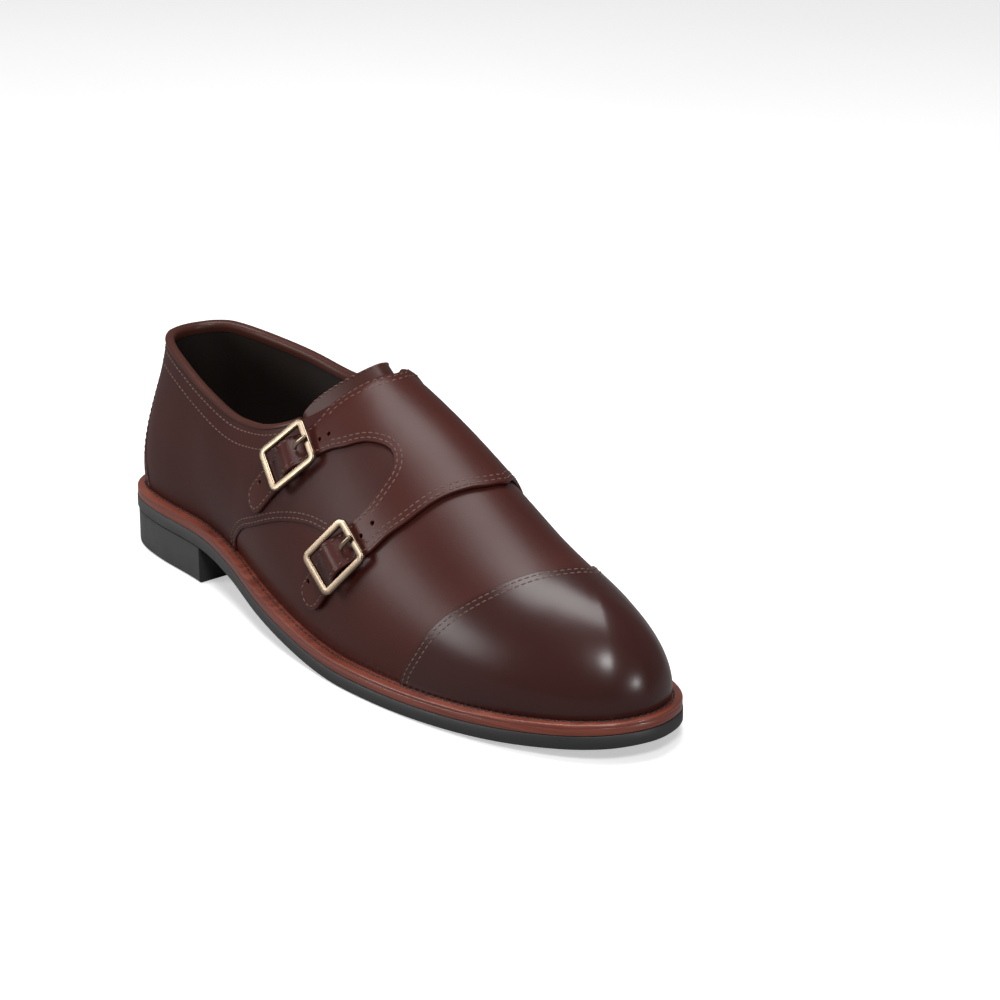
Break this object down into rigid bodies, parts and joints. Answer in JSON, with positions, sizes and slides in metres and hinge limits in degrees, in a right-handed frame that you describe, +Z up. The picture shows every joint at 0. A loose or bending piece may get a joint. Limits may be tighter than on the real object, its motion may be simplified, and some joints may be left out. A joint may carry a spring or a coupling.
{
  "type": "monk strap shoe",
  "caption": "Lasted leather dress shoe for the right foot, closed over the instep by a flap with two buckled straps, on a welted rubber sole with a stacked heel.",
  "frame": {"origin": "middle of the shoe's footprint, on the floor", "axes": "+X from heel to toe, +Y to the inner side of the foot, +Z up"},
  "size_m": [0.3056, 0.0988, 0.1056],
  "materials": {
    "black_rubber": "satin moulded rubber",
    "red_midsole": "stained and waxed edge",
    "lining": "matt lining leather",
    "brown_leather": "polished calf, darker at the toe",
    "strap_leather": "polished calf, slightly redder",
    "antique_brass": "pale antique brass"
  },
  "bodies": {
    "root": {"heel": "black_rubber", "outsole": "black_rubber", "midsole": "red_midsole", "insole": "lining", "upper": "brown_leather", "tongue": "brown_leather", "monk_strap": "strap_leather", "rear_buckle_frame": "antique_brass", "rear_buckle_prong": "antique_brass", "front_buckle_frame": "antique_brass", "front_buckle_prong": "antique_brass"}
  },
  "joints": []
}
